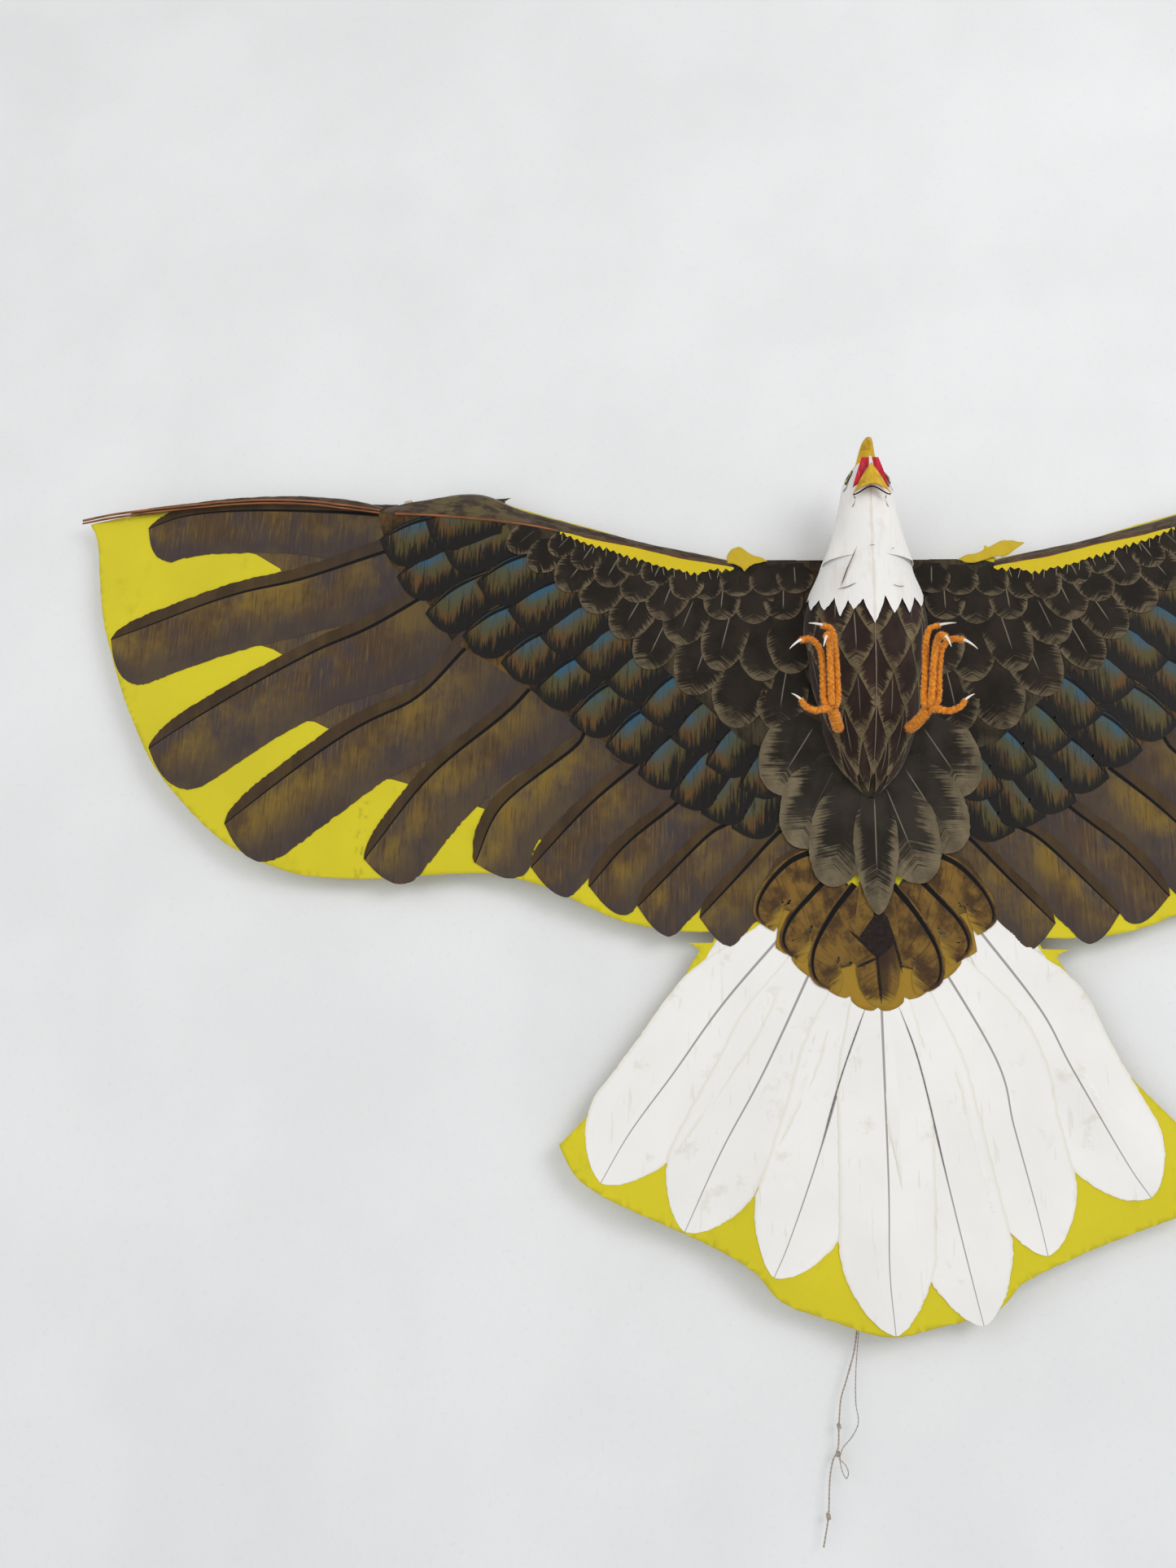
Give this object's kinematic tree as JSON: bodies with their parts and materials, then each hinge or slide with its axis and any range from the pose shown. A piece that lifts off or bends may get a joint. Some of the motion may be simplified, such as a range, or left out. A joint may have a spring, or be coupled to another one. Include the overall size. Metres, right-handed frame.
{
  "type": "soft eagle kite",
  "caption": "Soft bird kite with a hollow body, bamboo-edged cloth wings that fold at the shoulders, a fan tail, bendable legs and a hanging tow line.",
  "frame": {"origin": "centre of the flat back of the hanging block, on the wall plane at shoulder height", "axes": "+X across the span, +Y out of the kite's back into the wall, +Z towards the head"},
  "size_m": [1.4964, 0.1247, 0.899],
  "materials": {
    "body_cloth": "painted thin cloth",
    "body_skin": "painted cloth over hoops",
    "head_skin": "white painted cloth",
    "wing_cloth": "thin cloth with painted feathers",
    "wing_tip_cloth": "yellow cloth with painted feathers",
    "tail_cloth": "yellow cloth painted white",
    "flap_cloth": "painted cloth with a raw yellow edge",
    "bamboo": "split bamboo, bare",
    "wrapped_spar": "bamboo wrapped in brown cloth",
    "block_wood": "bare sawn wood",
    "thread": "wound thread",
    "line": "twisted cotton line",
    "beak": "painted card",
    "mouth": "red painted cloth",
    "tongue": "white painted card",
    "chenille": "orange chenille over wire",
    "claw": "white sleeve"
  },
  "bodies": {
    "root": {"hanging_block": "block_wood", "spine_stick": "bamboo", "shoulder_bar": "bamboo", "left_bar_tie": "thread", "right_bar_tie": "thread", "spine_end_tie": "thread", "body_sail": "body_cloth", "body_skin": "body_skin", "neck_hoop": "bamboo", "chest_hoop": "bamboo", "waist_hoop": "bamboo", "vent_hoop": "bamboo", "head_skin": "head_skin", "upper_beak": "beak", "lower_beak": "beak", "mouth_lining": "mouth", "tongue": "tongue", "tow_line": "line", "line_strand": "line"},
    "tail": {"tail_sail": "tail_cloth", "tail_left_stick": "bamboo", "tail_right_stick": "bamboo", "tail_head_stick": "bamboo", "tail_centre_stick": "bamboo", "undertail_flap": "flap_cloth"},
    "left_wing": {"left_inner_sail": "wing_cloth", "left_upper_spar": "wrapped_spar", "left_lower_spar": "bamboo", "left_wrist_tie": "thread", "left_shoulder_tab": "wing_tip_cloth"},
    "left_wing_tip": {"left_outer_sail": "wing_tip_cloth", "left_tip_spar": "bamboo", "left_tip_tie": "thread"},
    "left_leg": {"left_thigh": "chenille", "left_inner_toe": "chenille", "left_inner_claw": "claw", "left_middle_toe": "chenille", "left_middle_claw": "claw", "left_outer_toe": "chenille", "left_outer_claw": "claw", "left_hind_toe": "chenille", "left_hind_claw": "claw"},
    "right_wing": {"right_inner_sail": "wing_cloth", "right_upper_spar": "wrapped_spar", "right_lower_spar": "bamboo", "right_wrist_tie": "thread", "right_shoulder_tab": "wing_tip_cloth"},
    "right_wing_tip": {"right_outer_sail": "wing_tip_cloth", "right_tip_spar": "bamboo", "right_tip_tie": "thread"},
    "right_leg": {"right_thigh": "chenille", "right_inner_toe": "chenille", "right_inner_claw": "claw", "right_middle_toe": "chenille", "right_middle_claw": "claw", "right_outer_toe": "chenille", "right_outer_claw": "claw", "right_hind_toe": "chenille", "right_hind_claw": "claw"}
  },
  "joints": [
    {"name": "left_wing_fold", "type": "hinge", "parent": "root", "child": "left_wing", "pos_m": [-0.105, -0.0165, 0], "axis": [0, 0, 1], "range_deg": [0, 60]},
    {"name": "left_tip_flex", "type": "hinge", "parent": "left_wing", "child": "left_wing_tip", "pos_m": [-0.447, -0.0165, 0.05], "axis": [0, 0, 1], "range_deg": [-3, 35], "stiffness_Nm_per_rad": 1.5},
    {"name": "left_leg_bend", "type": "hinge", "parent": "root", "child": "left_leg", "pos_m": [-0.03, -0.0505, -0.1715], "axis": [1, 0, 0], "range_deg": [-15, 40]},
    {"name": "right_wing_fold", "type": "hinge", "parent": "root", "child": "right_wing", "pos_m": [0.105, -0.0165, 0], "axis": [0, 0, -1], "range_deg": [0, 60]},
    {"name": "right_tip_flex", "type": "hinge", "parent": "right_wing", "child": "right_wing_tip", "pos_m": [0.447, -0.0165, 0.05], "axis": [0, 0, -1], "range_deg": [-3, 35], "stiffness_Nm_per_rad": 1.5},
    {"name": "right_leg_bend", "type": "hinge", "parent": "root", "child": "right_leg", "pos_m": [0.03, -0.0505, -0.1715], "axis": [1, 0, 0], "range_deg": [-15, 40]},
    {"name": "tail_fold", "type": "hinge", "parent": "root", "child": "tail", "pos_m": [0, -0.0165, -0.35], "axis": [-1, 0, 0], "range_deg": [0, 80]}
  ]
}
